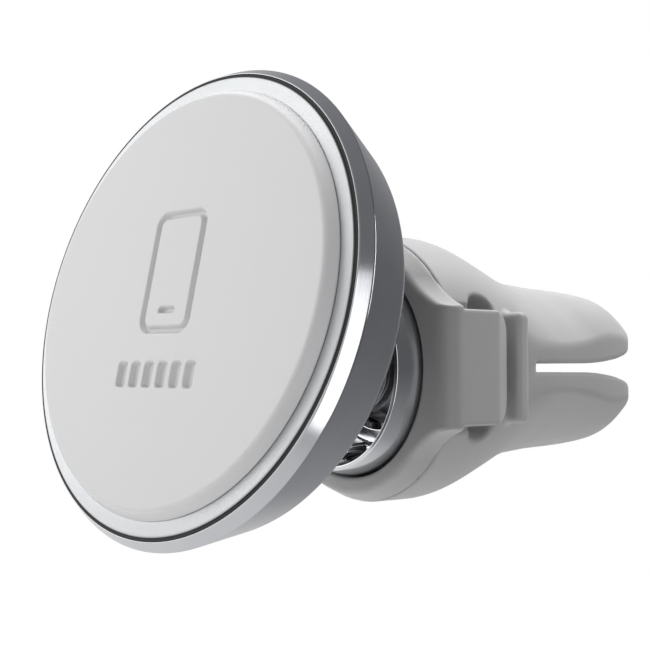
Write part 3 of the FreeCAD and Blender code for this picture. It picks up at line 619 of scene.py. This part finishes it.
ball_steel, spot = new_finish("ball_steel", head_stand.inverted())
scuffs = grain(spot, 0.0007)
lines = tool_lines(round_axis(spot)[1] * 7000)
shade(ball_steel, {
    "Base Color": tinted(scuffs, (0.07, 0.07, 0.075), (0.13, 0.13, 0.14)),
    "Metallic": 1.0,
    "Roughness": 0.13 + 0.09 * lines + 0.10 * scuffs,
    "Normal": relief(lines, 0.000002),
})
coat(stud, ball_steel)
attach(stud, "ball")
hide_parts("ball_stud")


# --- Back cover -------------------------------------------------------------------------------
# Gloss black plastic: a shallow cone behind the metal shell, drawn in to the boss that the stud
# passes through. Fine rings are turned round the boss where it narrows.

cover = turned("back_cover_turned", [
    (1.65, 8.2, 0.1), (4.0, 8.2, 0.25), (4.2, 11.0, 1.2), (6.0, 14.3, 1.8), (10.0, 16.5, 3.0),
    (17.6, 17.7, 0.2), (17.6, 18.4, 0.05), (1.65, 18.4, 0.05),
], head_stand)

cover_plastic, spot = new_finish("cover_plastic", head_stand.inverted())
fine = grain(spot, 0.0003)
film = grain(spot, 0.005)
shade(cover_plastic, {
    "Base Color": tinted(film, (0.010, 0.010, 0.011), (0.020, 0.020, 0.022)),
    "Roughness": 0.24 + 0.05 * film + 0.03 * fine,
    "Normal": relief(fine, 0.000004),
    "Coat Weight": 0.3,
    "Coat Roughness": 0.12,
})
coat(cover, cover_plastic)
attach(cover, "head")
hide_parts("back_cover")

rings = bpy.data.node_groups.new("boss_rings", "GeometryNodeTree")
rings.interface.new_socket("Geometry", in_out="OUTPUT", socket_type="NodeSocketGeometry")
for word in ("First Radius", "Wire", "Pitch", "Start", "Growth"):
    rings.interface.new_socket(word, in_out="INPUT", socket_type="NodeSocketFloat")
rings.interface.new_socket("Count", in_out="INPUT", socket_type="NodeSocketInt")
rings.interface.new_socket("Finish", in_out="INPUT", socket_type="NodeSocketMaterial")


def grow(tree, kind, settings, inputs):
    """One Geometry Nodes node, with its settings and then its sockets, by value or link."""
    made = tree.nodes.new(kind)
    for name, value in settings.items():
        setattr(made, name, value)
    for name, value in inputs.items():
        if isinstance(value, bpy.types.NodeSocket):
            tree.links.new(value, made.inputs[name])
        else:
            made.inputs[name].default_value = value
    return made


given = rings.nodes.new("NodeGroupInput").outputs
rise = grow(rings, "ShaderNodeCombineXYZ", {}, {"Z": given["Pitch"]})
start = grow(rings, "ShaderNodeCombineXYZ", {}, {"Z": given["Start"]})
posts = grow(rings, "GeometryNodeMeshLine", {}, {
    "Count": given["Count"], "Start Location": start.outputs[0], "Offset": rise.outputs[0]})
hoop = grow(rings, "GeometryNodeCurvePrimitiveCircle", {}, {"Resolution": 128, "Radius": 1.0})
step = grow(rings, "GeometryNodeInputIndex", {}, {})
wider = grow(rings, "ShaderNodeMath", {"operation": "MULTIPLY_ADD"}, {
    0: step.outputs[0], 1: given["Growth"], 2: given["First Radius"]})
size = grow(rings, "ShaderNodeCombineXYZ", {}, {
    "X": wider.outputs[0], "Y": wider.outputs[0], "Z": 1.0})
placed = grow(rings, "GeometryNodeInstanceOnPoints", {}, {
    "Points": posts.outputs["Mesh"], "Instance": hoop.outputs["Curve"], "Scale": size.outputs[0]})
loose = grow(rings, "GeometryNodeRealizeInstances", {}, {"Geometry": placed.outputs[0]})
wire = grow(rings, "GeometryNodeCurvePrimitiveCircle", {}, {
    "Resolution": 12, "Radius": given["Wire"]})
tubes = grow(rings, "GeometryNodeCurveToMesh", {}, {
    "Curve": loose.outputs[0], "Profile Curve": wire.outputs["Curve"]})
painted = grow(rings, "GeometryNodeSetMaterial", {}, {
    "Geometry": tubes.outputs[0], "Material": given["Finish"]})
rings.links.new(painted.outputs[0], rings.nodes.new("NodeGroupOutput").inputs[0])


def grown(name, tree, values, stand):
    """The plain mesh that a tree makes from those values, stood in its place."""
    holder = bpy.data.objects.new(name, bpy.data.meshes.new(name))
    bpy.context.scene.collection.objects.link(holder)
    added = holder.modifiers.new("grow", "NODES")
    added.node_group = tree
    for item in tree.interface.items_tree:
        if item.in_out == "INPUT" and item.name in values:
            added[item.identifier] = values[item.name]
    ready = holder.evaluated_get(bpy.context.evaluated_depsgraph_get())
    made = bpy.data.meshes.new_from_object(ready)
    holder.modifiers.remove(added)
    holder.data = made
    made.transform(stand)
    made.shade_smooth()
    return holder


boss_rings = grown("boss_rings", rings, {
    "First Radius": 0.00405, "Wire": 0.00016, "Pitch": 0.00075, "Start": 0.0087, "Growth": 0.00004,
    "Count": 3, "Finish": cover_plastic}, head_stand)
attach(boss_rings, "head")


# --- Head shell -------------------------------------------------------------------------------
# Pressed and polished metal shell: a bevelled rim round the front, a side that draws in towards
# the back, a ledge for the trim ring and a flat floor that the cover is screwed to.

shell = turned("head_shell_turned", [
    (1.65, 18.4, 0.05), (18.5, 18.4, 1.5), (20.8, 24.8, 0.22), (20.0, 26.0, 0.10),
    (20.0, 24.8, 0.05), (18.8, 24.8, 0.1), (18.8, 21.8, 0.2), (17.4, 19.4, 0.3), (1.65, 19.4, 0.05),
], head_stand, turns=240)

polished_metal, spot = new_finish("polished_metal", head_stand.inverted())
out, along = round_axis(spot)
lines = tool_lines((out * 0.6 + along) * 9000)
haze = grain(spot, 0.004)
shade(polished_metal, {
    "Base Color": tinted(haze, (0.50, 0.51, 0.53), (0.58, 0.59, 0.61)),
    "Metallic": 1.0,
    "Roughness": 0.09 + 0.07 * lines + 0.04 * haze,
    "Normal": relief(lines, 0.0000015),
})
coat(shell, polished_metal)
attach(shell, "head")
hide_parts("head_shell")


# --- Screws, washer and nut -------------------------------------------------------------------
# Blackened steel fixings inside the head: pan-head screws hold the cover to the shell's floor,
# and a nut on a wide washer keeps the head on its stud.

screw_steel, spot = new_finish("screw_steel")
worn = grain(spot, 0.0004)
shade(screw_steel, {
    "Base Color": tinted(worn, (0.05, 0.05, 0.055), (0.13, 0.13, 0.13)),
    "Metallic": 0.9,
    "Roughness": 0.34 + 0.20 * worn,
    "Normal": relief(worn, 0.000008),
})
for node in ("cover_screws", "stud_washer", "stud_nut"):
    coat(frame["nodes"][node], screw_steel)


# --- Yoke plate, magnets and carrier ----------------------------------------------------------
# A zinc-plated steel plate lies behind a ring of nickel-plated disc magnets, which sit in blind
# pockets of a black moulded carrier. The plate turns their pull towards the phone.

coat(frame["nodes"]["yoke_plate"], zinc_plate)

nickel_plate, spot = new_finish("nickel_plate", head_stand.inverted())
smear = grain(spot, 0.002)
shade(nickel_plate, {
    "Base Color": tinted(smear, (0.58, 0.55, 0.50), (0.68, 0.66, 0.61)),
    "Metallic": 1.0,
    "Roughness": 0.10 + 0.14 * smear,
})
coat(frame["nodes"]["magnets"], nickel_plate)

carrier_plastic, spot = new_finish("carrier_plastic")
spark = grain(spot, 0.00025)
shade(carrier_plastic, {
    "Base Color": tinted(grain(spot, 0.005), (0.020, 0.020, 0.022), (0.034, 0.034, 0.036)),
    "Roughness": 0.50 + 0.15 * spark,
    "Normal": relief(spark, 0.00002),
})
coat(frame["nodes"]["magnet_carrier"], carrier_plastic)


# --- Seam gasket and trim ring ----------------------------------------------------------------
# A thin black rubber gasket fills the seam inside the shell's rim. It holds a flat aluminium
# ring, spun to a fine satin, that frames the pad.

gasket_rubber, spot = new_finish("gasket_rubber", head_stand.inverted())
pores = grain(spot, 0.0002)
shade(gasket_rubber, {
    "Base Color": tinted(pores, (0.012, 0.012, 0.012), (0.024, 0.024, 0.024)),
    "Roughness": 0.62 + 0.18 * pores,
    "Normal": relief(pores, 0.00001),
})
coat(frame["nodes"]["seam_gasket"], gasket_rubber)

trim = turned("trim_ring_turned", [
    (16.4, 24.8, 0.05), (19.7, 24.8, 0.05), (19.7, 26.0, 0.12), (16.4, 26.0, 0.06),
], head_stand, turns=240)

satin_aluminium, spot = new_finish("satin_aluminium", head_stand.inverted())
spun = tool_lines(round_axis(spot)[0] * 14000, 3.0)
patch = grain(spot, 0.006)
shade(satin_aluminium, {
    "Base Color": tinted(spun * 0.5 + patch * 0.5, (0.40, 0.41, 0.42), (0.54, 0.55, 0.56)),
    "Metallic": 1.0,
    "Roughness": 0.26 + 0.14 * spun,
    "Normal": relief(spun, 0.000005),
})
coat(trim, satin_aluminium)
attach(trim, "head")
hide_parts("trim_ring")


# --- Pad tape and face pad --------------------------------------------------------------------
# The phone rests on a pale grey silicone pad, stuck to the carrier with double-sided tape. Its
# edge is bevelled, its front is slightly crowned, and a plain outline of a phone is pressed in.

adhesive_tape, spot = new_finish("adhesive_tape")
weave = grain(spot, 0.0005)
shade(adhesive_tape, {
    "Base Color": tinted(weave, (0.10, 0.10, 0.11), (0.16, 0.16, 0.17)),
    "Roughness": 0.75 + 0.15 * weave,
    "Normal": relief(weave, 0.00001),
})
coat(frame["nodes"]["pad_tape"], adhesive_tape)


PAD_FRONT, PAD_STEP, PAD_BACK = 27.1, 26.0, 25.2
FACE_RADIUS, EDGE_RADIUS, SPIGOT_RADIUS = 17.8, 18.5, 16.4
CROWNING, MARK_DEPTH = 0.02, 0.42


def pressed_mark(x, y):
    """Depth of the pressed outline of a phone and the row of bars beneath it, from 0 to 1."""
    row_half, bar_pitch = 5.4, 1.8

    def block(across, up, half_width, half_height, corner):
        a, b = np.abs(across) - half_width + corner, np.abs(up) - half_height + corner
        outside = np.hypot(np.maximum(a, 0), np.maximum(b, 0))
        return outside + np.minimum(np.maximum(a, b), 0) - corner

    outline = np.abs(block(x, y - 2.2, half_width=3.0, half_height=5.0, corner=1.0)) - 0.26
    key = block(x, y + 1.1, half_width=1.0, half_height=0.24, corner=0.2)
    bars = block((x + row_half) % bar_pitch - bar_pitch / 2, y + 6.6,
                 half_width=0.55, half_height=1.05, corner=0.3)
    bars = np.maximum(bars, np.abs(x) - row_half)
    return 1 - eased(-0.08, 0.08, np.minimum(np.minimum(outline, key), bars))


def pad_surface():
    """The pad's mesh: rings from the middle of the front, round the bevel and down the spigot."""
    turns, spacing = 480, 0.1
    rim = rounded([(0, PAD_FRONT, 0), (FACE_RADIUS, PAD_FRONT, 0.5), (EDGE_RADIUS, PAD_STEP, 0.12),
                   (SPIGOT_RADIUS, PAD_STEP, 0.1), (SPIGOT_RADIUS, PAD_BACK, 0.05),
                   (0, PAD_BACK, 0)])[1:-1]
    rings = [(r, PAD_FRONT) for r in np.arange(spacing, 17.0, spacing)]
    rings += [tuple(point) for point in rim]
    angles = np.radians(np.arange(turns) * 360 / turns)
    r, h = np.array(rings).T
    px, py = r[:, None] * np.cos(angles), r[:, None] * np.sin(angles)
    front = (h[:, None] > PAD_FRONT - 0.2) * np.ones_like(px)
    crowned = CROWNING * (px ** 2 + py ** 2) / FACE_RADIUS ** 2
    ph = h[:, None] - front * (crowned + MARK_DEPTH * pressed_mark(px, py))
    points = np.stack([px, py, ph], -1).reshape(-1, 3)
    points = np.concatenate([points, [[0, 0, PAD_FRONT], [0, 0, PAD_BACK]]])
    faces = []
    last = len(rings) - 1
    for t in range(turns):
        n = (t + 1) % turns
        faces.append((t, n, len(points) - 2))
        faces.append((last * turns + n, last * turns + t, len(points) - 1))
        for k in range(last):
            faces.append(((k + 1) * turns + t, (k + 1) * turns + n, k * turns + n, k * turns + t))
    mesh = bpy.data.meshes.new("face_pad_moulded")
    mesh.from_pydata(points / 1000, [], faces)
    mesh.transform(head_stand)
    mesh.shade_smooth()
    return mesh


pad = bpy.data.objects.new("face_pad_moulded", pad_surface())
bpy.context.scene.collection.objects.link(pad)

pad_silicone, spot = new_finish("pad_silicone", head_stand.inverted())
tooth = grain(spot, 0.00018, 2.0)
cloud = grain(spot, 0.012)
shade(pad_silicone, {
    "Base Color": tinted(cloud, (0.66, 0.66, 0.665), (0.71, 0.71, 0.715)),
    "Roughness": 0.30 + 0.08 * cloud + 0.06 * tooth,
    "Normal": relief(tooth, 0.000006),
})
coat(pad, pad_silicone)
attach(pad, "head")
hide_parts("face_pad")


# --- Floor, light and camera ------------------------------------------------------------------
# A pale floor hangs a little below the mount and fades out into a pale room, which is dimmer on
# the camera's side. Soft boxes stand above, behind and to the left, and a card on the right gives
# the rim its bright bevel. The camera looks slightly up at the mount from front right.

floor_half, floor_drop = 0.4, 0.035
floor_mesh = bpy.data.meshes.new("floor")
floor_mesh.from_pydata([(x * floor_half, y * floor_half, 0)
                        for x, y in ((-1, -1), (1, -1), (1, 1), (-1, 1))], [], [(0, 1, 2, 3)])
floor = bpy.data.objects.new("floor", floor_mesh)
floor.location = (0, 0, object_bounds()[0].z - floor_drop)
bpy.context.scene.collection.objects.link(floor)

floor_pale, spot = new_finish("floor_pale")
fade_start, fade_end = 0.05, 0.16    # metres from the middle
away = round_axis(spot)[0]
shade(floor_pale, {
    "Base Color": tinted(grain(spot, 0.05), (0.68, 0.68, 0.68), (0.72, 0.72, 0.72)),
    "Roughness": 0.7,
    "Alpha": away.node("MapRange", {"interpolation_type": "SMOOTHSTEP"}, {
        "Value": away, 1: fade_start, 2: fade_end, 3: 1.0, 4: 0.0}),
})
coat(floor, floor_pale)
floor.visible_glossy = False


def soft_box(name, width, height, power, place, aim):
    """A rectangular lamp, in metres and watts, that faces the point it is aimed at."""
    lamp = bpy.data.lights.new(name, "AREA")
    lamp.shape = "RECTANGLE"
    lamp.size = width
    lamp.size_y = height
    lamp.energy = power
    box = bpy.data.objects.new(name, lamp)
    box.location = place
    box.rotation_euler = (Vector(place) - Vector(aim)).to_track_quat("Z", "Y").to_euler()
    box.visible_camera = False
    bpy.context.scene.collection.objects.link(box)
    return box


clip_middle, head_middle = (0, 0, 0), (0, -0.03, 0)
overhead = soft_box("overhead", width=0.26, height=0.26, power=1.75,
                    place=(-0.03, 0.10, 0.24), aim=clip_middle)
overhead.visible_glossy = False
rim_card = soft_box("rim_card", width=0.09, height=0.26, power=0.13,
                    place=(0.215, -0.11, -0.02), aim=head_middle)
rim_card.visible_diffuse = False
soft_box("back_right", width=0.08, height=0.16, power=0.15,
         place=(0.14, 0.22, 0.06), aim=clip_middle)
soft_box("left_front", width=0.16, height=0.24, power=0.17,
         place=(-0.22, -0.20, 0.12), aim=head_middle)

room = bpy.data.worlds.new("room")
room.use_nodes = True
bpy.context.scene.world = room
sky = Reading(room.node_tree, room.node_tree.nodes["Background"].outputs[0])
way = sky.node("TexCoord", {}, {}, "Generated")
x, y, z = [way.node("SeparateXYZ", {}, {"Vector": way}, axis) for axis in range(3)]
up, down = z.sum("MAXIMUM", z, 0.0), z.sum("MAXIMUM", 0.0 - z, 0.0)
brightness = 0.42 - 0.38 * y - 0.34 * x - 0.05 * up + 0.25 * down
level = sky.node("ValToRGB", {"stops": [
    (0.0, (0.13, 0.13, 0.135)), (0.25, (0.27, 0.27, 0.28)), (0.42, (0.37, 0.37, 0.38)),
    (0.60, (0.80, 0.80, 0.80)), (1.0, (1.0, 1.0, 1.0))]}, {0: brightness})
seen = sky.node("LightPath", {}, {}, "Is Camera Ray")
room_colour = sky.node("Mix", {"data_type": "RGBA"}, {0: seen, 6: level, 7: (1, 1, 1, 1)}, 2)
room.node_tree.links.new(room_colour.socket, room.node_tree.nodes["Background"].inputs["Color"])

azimuth, elevation = math.radians(50.84), math.radians(-2.15)
backward = Vector((math.sin(azimuth) * math.cos(elevation),
                   -math.cos(azimuth) * math.cos(elevation), math.sin(elevation)))
lens = bpy.data.cameras.new("camera")
lens.lens = 66.1
lens.sensor_width = 36
lens.clip_start = 0.002
camera = bpy.data.objects.new("camera", lens)
camera.location = (0.0875, -0.0888, -0.0002)
camera.rotation_euler = backward.to_track_quat("Z", "Y").to_euler()
bpy.context.scene.collection.objects.link(camera)
bpy.context.scene.camera = camera
bpy.context.scene.view_settings.view_transform = "Standard"
